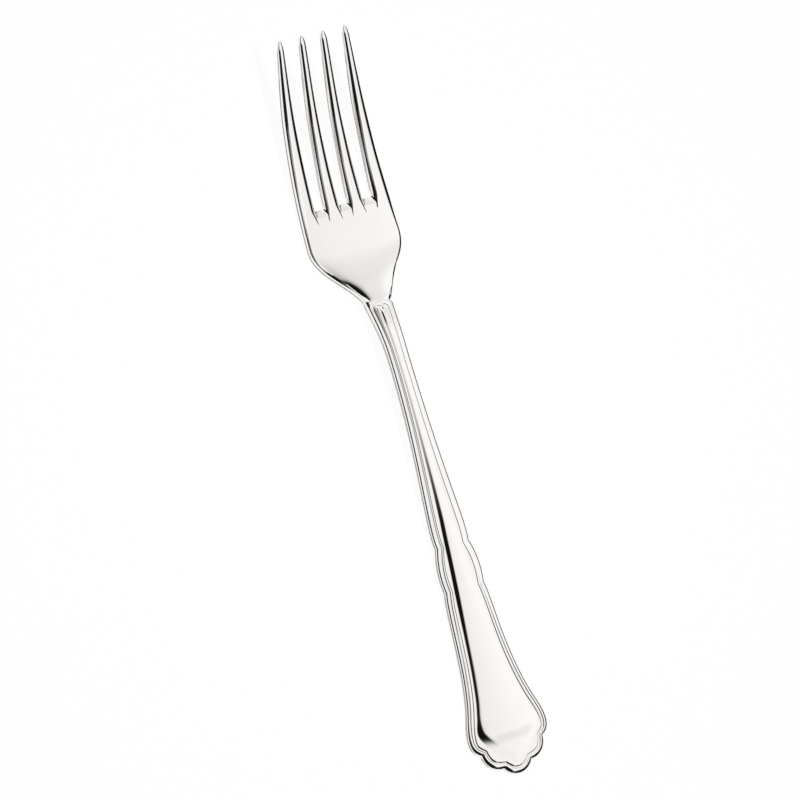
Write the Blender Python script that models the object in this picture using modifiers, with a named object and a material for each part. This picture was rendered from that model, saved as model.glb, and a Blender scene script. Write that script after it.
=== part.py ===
"""Serving fork struck from one blank of stainless steel.

The fork lies face up on a table: +Y points to the tine tips, +X to the right, +Z up.
The origin is under the middle of its length, on the table.

The right half is a blank of 11 strips that run from the tine tips to the handle's end.
The slots are punched out of it, it is given its thickness, every corner is pressed to its
place on the front or the back, and the half is mirrored.
All sizes are in metres.
"""

import math

import bmesh
import bpy
from mathutils import Vector
from mathutils.geometry import interpolate_bezier

# Lengths of the head, from the tine tips down
OVERALL_LENGTH = 0.240
TINE_LENGTH = 0.0522
CHEEK_LENGTH = 0.0118
SHOULDER_LENGTH = 0.0214

# Lengths of the handle, from its end up
END_LOBE_LENGTH = 0.0029
SIDE_LOBE_LENGTH = 0.0060
CORNER_LENGTH = 0.0121
FLARE_LENGTH = 0.0397
CUSP_LENGTH = 0.0141
WAIST_FROM_NECK = 0.0200

# Tines and slots
TINE_TIP_WIDTH = 0.0020
TINE_TIP_PITCH = 0.0075
TINE_ROOT_PITCH = 0.0083
SLOT_MID_WIDTH = 0.0054
SLOT_ROOT_WIDTH = 0.00375
TIP_ROUND = 0.0030
TINE_EDGE_ROUND = 0.00045
RUN_OUT_LENGTH = 0.0048
RUN_OUT_DEPTH = 0.0012
RUN_OUT_WALL = 0.0003

# Outline of the head
ROOT_WIDTH = 0.0308
HEAD_WIDTH = 0.03136
SHOULDER_NECK_SPREAD = 0.0040

# Hollow of the head, from its middle up to its edges
HOLLOW_AT_TIPS = 0.0001
HOLLOW_AT_ROOTS = 0.0010
HOLLOW_AT_WIDEST = 0.0011
HOLLOW_AT_NECK = 0.0003

# Outline of the handle
NECK_HALF_WIDTH = 0.0043
COLLAR_HALF_WIDTH = 0.0044
COLLAR_LENGTH = 0.0009
WAIST_HALF_WIDTH = 0.00337
UPPER_CUSP_HALF_WIDTH = 0.0057
UPPER_CUSP_SWELL = 0.0012
CUSP_BULGE = 0.00085
LOWER_CUSP_HALF_WIDTH = 0.0068
LOWER_CUSP_SWELL = 0.0016
FLARE_HALF_WIDTH = 0.01217
FLARE_SPREAD = 0.00477
CORNER_PULL = 0.0075
CORNER_SWELL = 0.0033
CORNER_CUSP_HALF_WIDTH = 0.0110
SIDE_LOBE_BULGE = 0.0018
SIDE_CUSP_HALF_WIDTH = 0.0050

# Threaded border of the handle: a bead along the edge, a groove and a fine ridge
BORDER_AT_WAIST = 0.00197
BORDER_AT_FLARE = 0.00265
BORDER_AT_END = 0.00285
BORDER_START_LENGTH = 0.0030
BEAD_ROUND = 0.0006
RIDGE_WIDTH = 0.0005
GROOVE_DEPTH = 0.0003

# Sunk panel inside the border
WALL_WIDTH = 0.0015
WALL_DEPTH = 0.0007
PANEL_RADIUS = 0.060

# Thickness
TIP_THICKNESS = 0.0017
MID_TINE_THICKNESS = 0.0025
ROOT_THICKNESS = 0.0027
BELLY_THICKNESS = 0.0024
NECK_THICKNESS = 0.0036
WAIST_THICKNESS = 0.0032
HANDLE_THICKNESS = 0.0026
BACK_ROUND = 0.0009

# Side view: height of the back above the table
TIP_RISE = 0.0190
MID_TINE_RISE = 0.00736
ROOT_RISE = 0.0006
SHOULDER_RISE = 0.00055
NECK_RISE = 0.0033
SHANK_RISE = 0.00625
SHANK_CREST_FROM_NECK = 0.0160
UPPER_CUSP_RISE = 0.0023
REST_LENGTH = 0.0370

# Shape factors: shares of the stretch that each one bends
TIP_BLUNTNESS = 0.34
HOLLOW_POWER = 2.4
BACK_HOLLOW_SHARE = 0.45
EDGE_ROUND_LIMIT = 0.55
WALL_LIMIT = 0.55
SHOULDER_MIDDLE = 0.53
SHOULDER_TOP_PULL = 0.40
SHOULDER_NECK_PULL = 0.37
WAIST_PULL = 0.50
SHANK_PULL = 0.53
UPPER_CUSP_PULL = 0.11
LOWER_CUSP_PULL = 0.15
FLARE_PULL = 0.37
CORNER_CUSP_PULL = 0.15
FAN_DEPTH = 0.62

# Number of facets along each stretch
TIP_STEPS = 4
TINE_STEPS = 11
RUN_OUT_STEPS = 3
CHEEK_STEPS = 3
SHOULDER_STEPS = 13
COLLAR_STEPS = 9
SHANK_STEPS = 12
CUSP_STEPS = 7
FLARE_STEPS = 11
CORNER_STEPS = 7
LOBE_STEPS = 6

TIP_Y = OVERALL_LENGTH / 2
ROOT_Y = TIP_Y - TINE_LENGTH
MID_TINE_Y = (TIP_Y + ROOT_Y) / 2
WIDEST_Y = ROOT_Y - CHEEK_LENGTH
NECK_Y = WIDEST_Y - SHOULDER_LENGTH
WAIST_Y = NECK_Y - WAIST_FROM_NECK
END_Y = -OVERALL_LENGTH / 2
SIDE_CUSP_Y = END_Y + END_LOBE_LENGTH
CORNER_CUSP_Y = SIDE_CUSP_Y + SIDE_LOBE_LENGTH
FLARE_Y = CORNER_CUSP_Y + CORNER_LENGTH
LOWER_CUSP_Y = FLARE_Y + FLARE_LENGTH
UPPER_CUSP_Y = LOWER_CUSP_Y + CUSP_LENGTH
REST_Y = END_Y + REST_LENGTH

# Lines between the strips, counted from the edge: those of the border, and those of the slots
RIDGE_LINE = 5
FOOT_LINE = 7
PANEL_STRIPS = 4
STRIPS = FOOT_LINE + PANEL_STRIPS
SLOT_STRIPS = (3, 4, 5, 9, 10)
SLOT_SIDE_LINES = (3, 6, 9)
SLOT_FLOOR_LINES = (4, 5, 10, 11)
ON_PLANE = 1e-7


def smooth_curve(points):
    """Return a function through (place, value) points that never overshoots them."""
    points = sorted(points)
    places = [place for place, _ in points]
    values = [value for _, value in points]
    gaps = [b - a for a, b in zip(places, places[1:])]
    slopes = [(b - a) / gap for a, b, gap in zip(values, values[1:], gaps)]
    tangents = [slopes[0]]
    for before, after in zip(slopes, slopes[1:]):
        turning = before * after <= 0
        tangents.append(0 if turning else 2 * before * after / (before + after))
    tangents.append(slopes[-1])

    def value_at(place):
        index = 0
        while index < len(gaps) - 1 and place > places[index + 1]:
            index += 1
        gap = gaps[index]
        t = min(max((place - places[index]) / gap, 0), 1)
        start = values[index] * (1 + 2 * t) + tangents[index] * gap * t
        finish = values[index + 1] * (3 - 2 * t) - tangents[index + 1] * gap * (1 - t)
        return start * (1 - t) ** 2 + finish * t ** 2

    return value_at


def blend(first, second, share):
    return first + (second - first) * share


def ease(share):
    share = min(max(share, 0), 1)
    return share * share * (3 - 2 * share)


def steps_between(first, last, count):
    """Return the points of an even split, without the first one."""
    return [blend(first, last, step / count) for step in range(1, count + 1)]


def curve_points(start, start_handle, end_handle, end, count):
    """Return the points of a Bezier stretch, without its first one."""
    return interpolate_bezier(start, start_handle, end_handle, end, count + 1)[1:]


def arc_points(start, end, bulge, count):
    """Return the points of a round stretch that swells to the left of its run."""
    chord = end - start
    radius = (chord.length_squared / 4 + bulge ** 2) / (2 * bulge)
    outward = Vector((-chord.y, chord.x)).normalized()
    centre = (start + end) / 2 + outward * (bulge - radius)
    spoke = start - centre
    sweep = spoke.angle_signed(end - centre)
    points = []
    for step in range(1, count + 1):
        turn = -sweep * step / count
        points.append(centre + Vector((
            spoke.x * math.cos(turn) - spoke.y * math.sin(turn),
            spoke.x * math.sin(turn) + spoke.y * math.cos(turn))))
    return points


back_height = smooth_curve([
    (TIP_Y, TIP_RISE),
    (MID_TINE_Y, MID_TINE_RISE),
    (ROOT_Y, ROOT_RISE),
    (WIDEST_Y, 0),
    (blend(WIDEST_Y, NECK_Y, SHOULDER_MIDDLE), SHOULDER_RISE),
    (NECK_Y, NECK_RISE),
    (NECK_Y - SHANK_CREST_FROM_NECK, SHANK_RISE),
    (UPPER_CUSP_Y, UPPER_CUSP_RISE),
    (REST_Y, 0),
    (END_Y, 0),
])
thickness = smooth_curve([
    (TIP_Y, TIP_THICKNESS),
    (MID_TINE_Y, MID_TINE_THICKNESS),
    (ROOT_Y, ROOT_THICKNESS),
    (WIDEST_Y, BELLY_THICKNESS),
    (NECK_Y, NECK_THICKNESS),
    (WAIST_Y, WAIST_THICKNESS),
    (UPPER_CUSP_Y, HANDLE_THICKNESS),
    (END_Y, HANDLE_THICKNESS),
])
hollow = smooth_curve([
    (TIP_Y, HOLLOW_AT_TIPS),
    (ROOT_Y, HOLLOW_AT_ROOTS),
    (WIDEST_Y, HOLLOW_AT_WIDEST),
    (NECK_Y, HOLLOW_AT_NECK),
    (NECK_Y - BORDER_START_LENGTH, 0),
    (END_Y, 0),
])
border_width = smooth_curve([
    (NECK_Y, BORDER_AT_WAIST),
    (WAIST_Y, BORDER_AT_WAIST),
    (UPPER_CUSP_Y, BORDER_AT_FLARE),
    (FLARE_Y, BORDER_AT_FLARE),
    (END_Y, BORDER_AT_END),
])
tine_edge = smooth_curve([
    (TIP_Y, 1.5 * TINE_TIP_PITCH + TINE_TIP_WIDTH / 2),
    (ROOT_Y, ROOT_WIDTH / 2),
    (WIDEST_Y, HEAD_WIDTH / 2),
])
slot_pitch = smooth_curve([
    (TIP_Y, TINE_TIP_PITCH),
    (ROOT_Y, TINE_ROOT_PITCH),
])
slot_width = smooth_curve([
    (TIP_Y, TINE_TIP_PITCH - TINE_TIP_WIDTH),
    (MID_TINE_Y, SLOT_MID_WIDTH),
    (ROOT_Y, SLOT_ROOT_WIDTH),
])


def on_profile(x, y, height):
    """Place a point above the back's side-view curve, at a height measured square to it."""
    reach = TINE_EDGE_ROUND
    slope = (back_height(y + reach) - back_height(y - reach)) / (2 * reach)
    return Vector((x, y, back_height(y) + height * math.hypot(1, slope)))


def slot_edges(y):
    """Return the outer and inner edges of the side slot, and the edge of the middle one."""
    half = slot_width(y) / 2
    return slot_pitch(y) + half, slot_pitch(y) - half, half


def hollow_lift(x, y, half_width):
    return hollow(y) * min(x / half_width, 1) ** HOLLOW_POWER


def tine_row(y):
    """Return one row of (x, y, back, front) corners across the tines."""
    past_tip = max(y - (TIP_Y - TIP_ROUND), 0) / TIP_ROUND
    taper = math.sqrt(1 - (1 - TIP_BLUNTNESS ** 2) * past_tip ** 2)
    edge = tine_edge(y)
    outer, inner, middle = slot_edges(y)
    row = []
    for left, right in ((edge, outer), (inner, middle)):
        centre = (left + right) / 2
        half = (left - right) / 2 * taper
        middle_height = thickness(y) / 2
        chamfer = min(TINE_EDGE_ROUND, half * EDGE_ROUND_LIMIT, middle_height * taper * EDGE_ROUND_LIMIT)
        for offset, drop in ((half, chamfer), (half - chamfer, 0), (chamfer - half, 0), (-half, chamfer)):
            x = centre + offset
            lift = hollow_lift(x, y, edge)
            reach = middle_height * taper - drop
            back = lift * BACK_HOLLOW_SHARE + middle_height - reach
            row.append((x, y, back, lift + middle_height + reach))
        row += [row[-1]] * 2
    return row


def root_lines():
    """Return the places of the strips' edges at the slot bottoms."""
    edge = tine_edge(ROOT_Y)
    outer, inner, middle = slot_edges(ROOT_Y)
    return (
        edge, edge - TINE_EDGE_ROUND, outer + TINE_EDGE_ROUND, outer,
        outer - RUN_OUT_WALL, inner + RUN_OUT_WALL,
        inner, inner - TINE_EDGE_ROUND, middle + TINE_EDGE_ROUND, middle,
        middle - RUN_OUT_WALL, 0)


def head_row(half_width, y):
    """Return one row of corners across the head, with the slots' run-outs."""
    share = (ROOT_Y - y) / (ROOT_Y - NECK_Y)
    root = root_lines()
    neck = border_lines(NECK_HALF_WIDTH, NECK_Y)
    run_out = max(1 - (ROOT_Y - y) / RUN_OUT_LENGTH, 0)
    row = []
    for line, (at_root, at_neck) in enumerate(zip(root, neck)):
        at_neck_share = 1 - at_neck / NECK_HALF_WIDTH
        x = half_width * blend(at_root / root[0], at_neck_share, ease(share))
        if line == 1:
            x = half_width - TINE_EDGE_ROUND
        lift = hollow_lift(x, y, half_width)
        back = lift * BACK_HOLLOW_SHARE
        front = lift + thickness(y)
        if line == 0:
            back += TINE_EDGE_ROUND
            front -= TINE_EDGE_ROUND
        if line in SLOT_SIDE_LINES:
            back += TINE_EDGE_ROUND * run_out
            front -= TINE_EDGE_ROUND * run_out
        if line in SLOT_FLOOR_LINES:
            front -= RUN_OUT_DEPTH * run_out
        row.append((x, y, back, front))
    return row


def border_lines(half_width, y):
    """Return each strip edge's distance in from the handle's outline."""
    ridge = border_width(y)
    groove = ridge - RIDGE_WIDTH
    wall = min(WALL_WIDTH, (half_width - ridge) * WALL_LIMIT)
    foot = ridge + wall
    corner = BEAD_ROUND * (1 - math.sqrt(0.5))
    rails = [0, corner, BEAD_ROUND, (BEAD_ROUND + groove) / 2, groove, ridge, ridge + wall / 2, foot]
    return rails + steps_between(foot, half_width, PANEL_STRIPS)


def border_drops(lines, y):
    """Return how far each strip edge lies below the bead's crest, up to the panel's edge."""
    corner = BEAD_ROUND * (1 - math.sqrt(0.5))
    wall = WALL_DEPTH * (lines[FOOT_LINE] - lines[RIDGE_LINE]) / WALL_WIDTH
    start = ease((NECK_Y - y) / BORDER_START_LENGTH)
    pressed = (GROOVE_DEPTH / 3, GROOVE_DEPTH, 0, wall / 2, wall)
    return [BEAD_ROUND, corner, 0] + [drop * start for drop in pressed]


def back_edge(inset, y):
    """Return how far the rounded edge of the back lies above its middle."""
    radius = min(BACK_ROUND * thickness(y) / HANDLE_THICKNESS, thickness(y) / 2)
    short = max(radius - inset, 0)
    return radius - math.sqrt(radius ** 2 - short ** 2)


def handle_outline():
    """Return the right edge of the handle from the neck to the middle of its end."""
    def knot(half_width, y):
        return Vector((half_width, y))

    neck = knot(NECK_HALF_WIDTH, NECK_Y)
    waist = knot(WAIST_HALF_WIDTH, WAIST_Y)
    upper = knot(UPPER_CUSP_HALF_WIDTH, UPPER_CUSP_Y)
    lower = knot(LOWER_CUSP_HALF_WIDTH, LOWER_CUSP_Y)
    flare = knot(FLARE_HALF_WIDTH, FLARE_Y)
    corner = knot(CORNER_CUSP_HALF_WIDTH, CORNER_CUSP_Y)
    side = knot(SIDE_CUSP_HALF_WIDTH, SIDE_CUSP_Y)
    shank = waist.y - upper.y
    flare_lean = Vector((FLARE_SPREAD, -FLARE_LENGTH * FLARE_PULL)).normalized()

    outline = [neck]
    outline += curve_points(
        neck, knot(COLLAR_HALF_WIDTH, neck.y - COLLAR_LENGTH),
        knot(waist.x, waist.y + WAIST_FROM_NECK * WAIST_PULL), waist, COLLAR_STEPS)
    outline += curve_points(
        waist, knot(waist.x, waist.y - shank * SHANK_PULL),
        knot(upper.x + UPPER_CUSP_SWELL, upper.y + shank * UPPER_CUSP_PULL), upper, SHANK_STEPS)
    outline += arc_points(upper, lower, CUSP_BULGE, CUSP_STEPS)
    outline += curve_points(
        lower, knot(lower.x + LOWER_CUSP_SWELL, lower.y - FLARE_LENGTH * LOWER_CUSP_PULL),
        knot(flare.x - FLARE_SPREAD, flare.y + FLARE_LENGTH * FLARE_PULL), flare, FLARE_STEPS)
    outline += curve_points(
        flare, flare + flare_lean * CORNER_PULL,
        knot(corner.x + CORNER_SWELL, corner.y + CORNER_LENGTH * CORNER_CUSP_PULL), corner, CORNER_STEPS)
    outline += arc_points(corner, side, SIDE_LOBE_BULGE, LOBE_STEPS)
    end_lobe = arc_points(side, knot(-side.x, side.y), END_LOBE_LENGTH, 2 * LOBE_STEPS)
    outline += end_lobe[:LOBE_STEPS - 1] + [knot(0, END_Y)]
    return outline


def inward(outline, index):
    """Return the mitred direction from an outline point into the handle."""
    here = outline[index]
    if index == 0:
        return Vector((-1, 0))
    before = (here - outline[index - 1]).normalized()
    if index == len(outline) - 1:
        after = Vector((before.x, -before.y))
    else:
        after = (outline[index + 1] - here).normalized()
    normals = [Vector((run.y, -run.x)) for run in (before, after)]
    return (normals[0] + normals[1]) / (1 + normals[0].dot(normals[1]))


def handle_rows():
    """Return the rows of corners from the neck to the end, square to the handle's outline."""
    outline = handle_outline()
    fan_start = len(outline) - 1 - CORNER_STEPS - 2 * LOBE_STEPS
    fan_rows = len(outline) - 1 - fan_start
    fan_top = outline[fan_start].y
    fan_foot = blend(fan_top, END_Y, FAN_DEPTH)
    rows = []
    for index, point in enumerate(outline):
        direction = inward(outline, index)
        reach = max(point.x, FLARE_HALF_WIDTH) if index > fan_start else point.x
        lines = border_lines(reach, point.y)
        drops = border_drops(lines, point.y)
        corners = [point + direction * line for line in lines[:FOOT_LINE + 1]]
        spine_y = corners[-1].y
        if index > fan_start:
            spine_y = blend(fan_top, fan_foot, (index - fan_start) / fan_rows)
        spine = Vector((0, spine_y))
        corners += steps_between(corners[-1], spine, PANEL_STRIPS)
        foot_share = max(fan_top - spine_y, 0) / (fan_top - END_Y)
        panel_half = corners[FOOT_LINE].x if index <= fan_start else rows[fan_start][FOOT_LINE][0]
        dip = panel_half ** 2 / (2 * PANEL_RADIUS) * (1 - foot_share ** 2)
        drops += [drops[FOOT_LINE] + dip * (1 - (1 - share) ** 2) for share in steps_between(0, 1, PANEL_STRIPS)]
        row = []
        for line, corner in enumerate(corners):
            lift = hollow_lift(corner.x, corner.y, max(point.x, NECK_HALF_WIDTH))
            back = lift * BACK_HOLLOW_SHARE + back_edge(lines[line], point.y)
            row.append((max(corner.x, 0), corner.y, back, lift + thickness(point.y) - drops[line]))
        rows.append(row)
    return rows


def head_outline():
    """Return (half-width, y) from below the slots to just above the neck."""
    outline = [(tine_edge(y), y) for y in steps_between(ROOT_Y, ROOT_Y - RUN_OUT_LENGTH, RUN_OUT_STEPS)]
    outline += [(tine_edge(y), y) for y in steps_between(ROOT_Y - RUN_OUT_LENGTH, WIDEST_Y, CHEEK_STEPS)]
    widest = Vector((HEAD_WIDTH / 2, WIDEST_Y))
    neck = Vector((NECK_HALF_WIDTH, NECK_Y))
    shoulder = curve_points(
        widest, widest - Vector((0, SHOULDER_LENGTH * SHOULDER_TOP_PULL)),
        neck + Vector((SHOULDER_NECK_SPREAD, SHOULDER_LENGTH * SHOULDER_NECK_PULL)), neck, SHOULDER_STEPS)
    return outline + [tuple(point) for point in shoulder[:-1]]


def blank_rows():
    """Return every row of corners, from the tine tips to the handle's end."""
    tip_ys = [TIP_Y] + steps_between(TIP_Y, TIP_Y - TIP_ROUND, TIP_STEPS)
    tine_ys = tip_ys + steps_between(TIP_Y - TIP_ROUND, ROOT_Y, TINE_STEPS)[:-1]
    rows = [tine_row(y) for y in tine_ys]
    rows.append(head_row(tine_edge(ROOT_Y), ROOT_Y))
    rows += [head_row(half_width, y) for half_width, y in head_outline()]
    return rows + handle_rows()


def half_fork():
    """Return the right half of the fork as a mesh that is open at the plane of symmetry."""
    rows = blank_rows()
    last_row = len(rows) - 1
    first_solid_row = TIP_STEPS + TINE_STEPS
    bm = bmesh.new()
    bmesh.ops.create_grid(bm, x_segments=STRIPS, y_segments=last_row, size=0.5)

    def strip_and_row(point):
        return round((point.x + 0.5) * STRIPS, 3), round((point.y + 0.5) * last_row, 3)

    slots = []
    for face in bm.faces:
        strip, row = strip_and_row(face.calc_center_median())
        if int(strip) in SLOT_STRIPS and row < first_solid_row:
            slots.append(face)
    bmesh.ops.delete(bm, geom=slots, context="FACES")

    raised = bmesh.ops.extrude_face_region(bm, geom=list(bm.faces))["geom"]
    fronts = {item for item in raised if isinstance(item, bmesh.types.BMVert)}
    for vert in bm.verts:
        strip, row = strip_and_row(vert.co)
        x, y, back, front = rows[int(row)][int(strip)]
        vert.co = on_profile(x, y, front if vert in fronts else back)

    on_plane = [f for f in bm.faces if all(abs(v.co.x) < ON_PLANE for v in f.verts)]
    bmesh.ops.delete(bm, geom=on_plane, context="FACES")
    bmesh.ops.recalc_face_normals(bm, faces=list(bm.faces))
    mesh = bpy.data.meshes.new("fork")
    bm.to_mesh(mesh)
    bm.free()
    return mesh


def polished_steel():
    material = bpy.data.materials.new("polished_steel")
    material.use_nodes = True
    shader = material.node_tree.nodes["Principled BSDF"]
    shader.inputs["Base Color"].default_value = (0.83, 0.82, 0.80, 1)
    shader.inputs["Metallic"].default_value = 1
    shader.inputs["Roughness"].default_value = 0.12
    return material


def add_fork():
    mesh = half_fork()
    mesh.materials.append(polished_steel())
    mesh.shade_smooth()
    mesh.set_sharp_from_angle(angle=math.radians(35))
    fork = bpy.data.objects.new("fork", mesh)
    mirror = fork.modifiers.new("Mirror", "MIRROR")
    mirror.use_axis = (True, False, False)
    mirror.merge_threshold = 1e-6
    collection = bpy.data.collections.new("serving_fork")
    collection.objects.link(fork)
    bpy.context.scene.collection.children.link(collection)


def main():
    for item in list(bpy.data.objects):
        bpy.data.objects.remove(item)
    add_fork()


main()
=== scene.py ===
"""Looks of the polished serving fork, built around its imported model.

The fork is one piece of steel, so one finely shaped mesh stands for it. Its right half is a
blank of narrow strips that run from the tine tips to the handle's end. The slots are punched
out, the blank is given its thickness, every point is pressed to its place on the front or the
back, and the half is mirrored. All sizes are in metres: +Y points to the tips and +Z is up.
"""

import math

import bmesh
import bpy
from mathutils import Matrix, Vector
from mathutils.geometry import interpolate_bezier


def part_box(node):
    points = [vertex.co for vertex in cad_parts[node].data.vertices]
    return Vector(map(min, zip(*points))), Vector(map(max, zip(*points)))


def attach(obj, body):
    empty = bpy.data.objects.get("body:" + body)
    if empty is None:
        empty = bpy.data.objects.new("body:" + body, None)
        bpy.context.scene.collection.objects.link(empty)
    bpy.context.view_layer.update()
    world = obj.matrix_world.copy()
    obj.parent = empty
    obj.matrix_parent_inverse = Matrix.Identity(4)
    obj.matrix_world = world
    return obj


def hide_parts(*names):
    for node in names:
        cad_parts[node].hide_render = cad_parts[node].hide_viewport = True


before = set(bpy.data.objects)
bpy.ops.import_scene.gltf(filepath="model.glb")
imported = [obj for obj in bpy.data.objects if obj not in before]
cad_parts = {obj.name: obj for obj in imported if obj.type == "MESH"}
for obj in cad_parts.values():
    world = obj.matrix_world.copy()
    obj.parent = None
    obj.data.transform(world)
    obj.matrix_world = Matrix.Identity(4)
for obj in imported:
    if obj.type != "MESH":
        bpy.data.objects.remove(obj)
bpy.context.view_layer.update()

# Lengths of the head, from the tine tips down
TINE_LENGTH = 0.0522
CHEEK_LENGTH = 0.0118
SHOULDER_LENGTH = 0.0214

# Lengths of the handle, from its end up
END_LOBE_LENGTH = 0.0029
SIDE_LOBE_LENGTH = 0.0060
CORNER_LENGTH = 0.0121
FLARE_LENGTH = 0.0397
CUSP_LENGTH = 0.0141
WAIST_FROM_NECK = 0.0200

# Tines and slots
TINE_TIP_WIDTH = 0.0019
TINE_TIP_PITCH = 0.0074
TINE_ROOT_PITCH = 0.0083
SLOT_MID_WIDTH = 0.0049
SLOT_ROOT_WIDTH = 0.00375
TIP_ROUND = 0.0034
TINE_LEVELLING = 0.0150
RUN_OUT_LENGTH = 0.0049
RUN_OUT_DEPTH = 0.0016
RUN_OUT_WALL = 0.0009
SIDE_SLOT_EXTRA = 0.00025

# Outline of the head
MID_TINE_WIDTH = 0.0281
ROOT_WIDTH = 0.0308
HEAD_WIDTH = 0.0316
SHOULDER_NECK_SPREAD = 0.0033

# Hollow of the head, from its middle up to its edges
HOLLOW_AT_TIPS = 0.0001
HOLLOW_AT_ROOTS = 0.0007
HOLLOW_AT_WIDEST = 0.0009
HOLLOW_AT_SHOULDERS = 0.0010
HOLLOW_AT_NECK = 0.0011
HOLLOW_STEP = 0.0010

# Outline of the handle
NECK_HALF_WIDTH = 0.0043
COLLAR_HALF_WIDTH = 0.0044
COLLAR_LENGTH = 0.0009
WAIST_HALF_WIDTH = 0.00337
UPPER_CUSP_HALF_WIDTH = 0.0057
UPPER_CUSP_SWELL = 0.0012
CUSP_BULGE = 0.00085
LOWER_CUSP_HALF_WIDTH = 0.0068
LOWER_CUSP_SWELL = 0.0016
FLARE_HALF_WIDTH = 0.01217
FLARE_SPREAD = 0.00477
CORNER_PULL = 0.0075
CORNER_SWELL = 0.0033
CORNER_CUSP_HALF_WIDTH = 0.0110
SIDE_LOBE_BULGE = 0.0018
SIDE_CUSP_HALF_WIDTH = 0.0050

# Threaded border of the handle: a bead along the edge, a groove and a fine ridge
BORDER_AT_WAIST = 0.00225
BORDER_AT_FLARE = 0.00265
BORDER_AT_END = 0.00285
BEAD_AT_WAIST = 0.00115
BEAD_AT_CUSPS = 0.0014
BEAD_AT_FLARE = 0.0010
BEAD_AT_END = 0.00155
BEAD_SIDE_AT_SHANK = 0.00058
BEAD_SIDE_AT_LOWER_CUSP = 0.00035
BEAD_SIDE_AT_FLARE = 0.00025
GROOVE_AT_NECK = 0.00021
GROOVE_AT_WAIST = 0.00016
GROOVE_AT_CUSPS = 0.00016
GROOVE_AT_FLARE = 0.00026
GROOVE_AT_END = 0.00040
RIDGE_SIDE_AT_WAIST = 0.00019
RIDGE_SIDE_AT_CUSPS = 0.00026
RIDGE_SIDE_AT_FLARE = 0.00045
RIDGE_SIDE_AT_END = 0.00061
RIDGE_CREST = 0.00025
RIDGE_HEIGHT = 0.00014
RIDGE_FADE = 0.0050
BORDER_START = 0.0015

# Sunk panel inside the border, and the pair of small arches that closes it at the neck
CREST_REACH = 0.0006
WALL_REACH = 0.0017
WALL_REACH_AT_NECK = 0.0040
WALL_REACH_AT_FLARE = 0.0013
WALL_REACH_AT_CORNER = 0.0032
WALL_FADE = 0.0009
PANEL_EDGE_AT_ARCHES = 0.0007
PANEL_EDGE_AT_COLLAR = 0.0012
PANEL_EDGE_AT_WAIST = 0.0011
PANEL_EDGE_AT_SHANK = 0.0018
PANEL_EDGE_AT_UPPER_CUSP = 0.00325
PANEL_EDGE_AT_LOWER_CUSP = 0.0043
PANEL_EDGE_AT_MID_FLARE = 0.00585
PANEL_EDGE_AT_LOW_FLARE = 0.0079
PANEL_EDGE_AT_FLARE = 0.0093
PANEL_EDGE_AT_CORNER = 0.0108
PANEL_EDGE_AT_CORNER_CUSP = 0.0075
PANEL_EDGE_AT_SIDE_LOBE = 0.0042
PANEL_END_GAP = 0.0006
ARCH_CUSP_FROM_NECK = 0.0024
ARCH_HEIGHT = 0.0010
ARCH_FADE = 0.0008
NECK_NICK_FROM_NECK = 0.0006
NECK_NICK_LENGTH = 0.0020
WEDGE_LENGTH = 0.0065

# Thickness
TIP_THICKNESS = 0.0019
MID_TINE_THICKNESS = 0.0031
ROOT_THICKNESS = 0.0031
BELLY_THICKNESS = 0.0026
NECK_THICKNESS = 0.0036
WAIST_THICKNESS = 0.0032
HANDLE_THICKNESS = 0.0026

# Eased rims: how far in from the edge they reach, and the small round corner they end in
RIM_REACH_AT_TINES = 0.0012
RIM_REACH_AT_ROOTS = 0.0013
RIM_REACH_AT_CHEEKS = 0.0008
RIM_REACH_AT_SHOULDERS = 0.0004
RIM_REACH_AT_NECK = 0.0012
RIM_REACH_AT_HANDLE = 0.0005
RIM_REACH_AT_END = 0.0012
RIM_LINE_REACH = 0.0008
RIM_CORNER = 0.00012

# Draft: how far the edge's widest line stands out from the rim, and the small slant above it
DRAFT_AT_TIPS = 0.0001
DRAFT_AT_TINES = 0.0004
DRAFT_AT_ROOTS = 0.0003
DRAFT_AT_CHEEKS = 0.0003
DRAFT_AT_HANDLE = 0.0002
EDGE_FOOT = 0.00016

# Side view: height of the back above the table
TIP_RISE = 0.0190
MID_TINE_RISE = 0.0071
ROOT_RISE = 0.0010
SHOULDER_RISE = 0.0010
NECK_RISE = 0.0035
SHANK_RISE = 0.00625
SHANK_CREST_FROM_NECK = 0.0160
UPPER_CUSP_RISE = 0.0023
REST_LENGTH = 0.0370

# Shape factors: slopes, powers, limits, and places as shares of the stretch they lie on
TIP_BLUNTNESS = 0.20
HOLLOW_POWER = 2.8
BACK_HOLLOW_SHARE = 0.70
BACK_EDGE_SHARE_AT_TIPS = 0.60
BACK_EDGE_SHARE_AT_HEAD = 0.47
BACK_EDGE_SHARE_AT_HANDLE = 0.68
BACK_EDGE_SHARE_AT_END = 0.50
BACK_SLANT = 0.20
FOOT_LIMIT = 0.65
RIM_SLOPE_AT_TINES = 0.32
RIM_SLOPE_AT_ROOTS = 0.44
RIM_SLOPE_AT_CHEEKS = 0.64
RIM_SLOPE_AT_SHOULDERS = 1.05
RIM_SLOPE_AT_LOW_SHOULDERS = 0.90
RIM_SLOPE_AT_NECK = 0.70
RIM_SLOPE_AT_HANDLE = 0.52
RIM_SLOPE_AT_END = 0.46
RIM_STEEPENING_AT_TINES = 0.28
RIM_STEEPENING_AT_CHEEKS = 0.15
RIM_STEEPENING_AT_NECK = 0.09
RIM_STEEPENING_AT_END = 0.34
RIM_EASE = 1.2
RIM_LIMIT = 0.68
CORNER_LIMIT = 0.30
PANEL_SLOPE_SHARE = 0.55
WALL_SLOPE_AT_NECK = 0.50
WALL_SLOPE_AT_WAIST = 0.22
WALL_SLOPE_AT_CUSPS = 0.38
WALL_SLOPE_AT_LOWER_CUSP = 0.41
WALL_SLOPE_AT_FLARE = 0.365
WALL_SLOPE_AT_CORNER = 0.38
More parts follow.
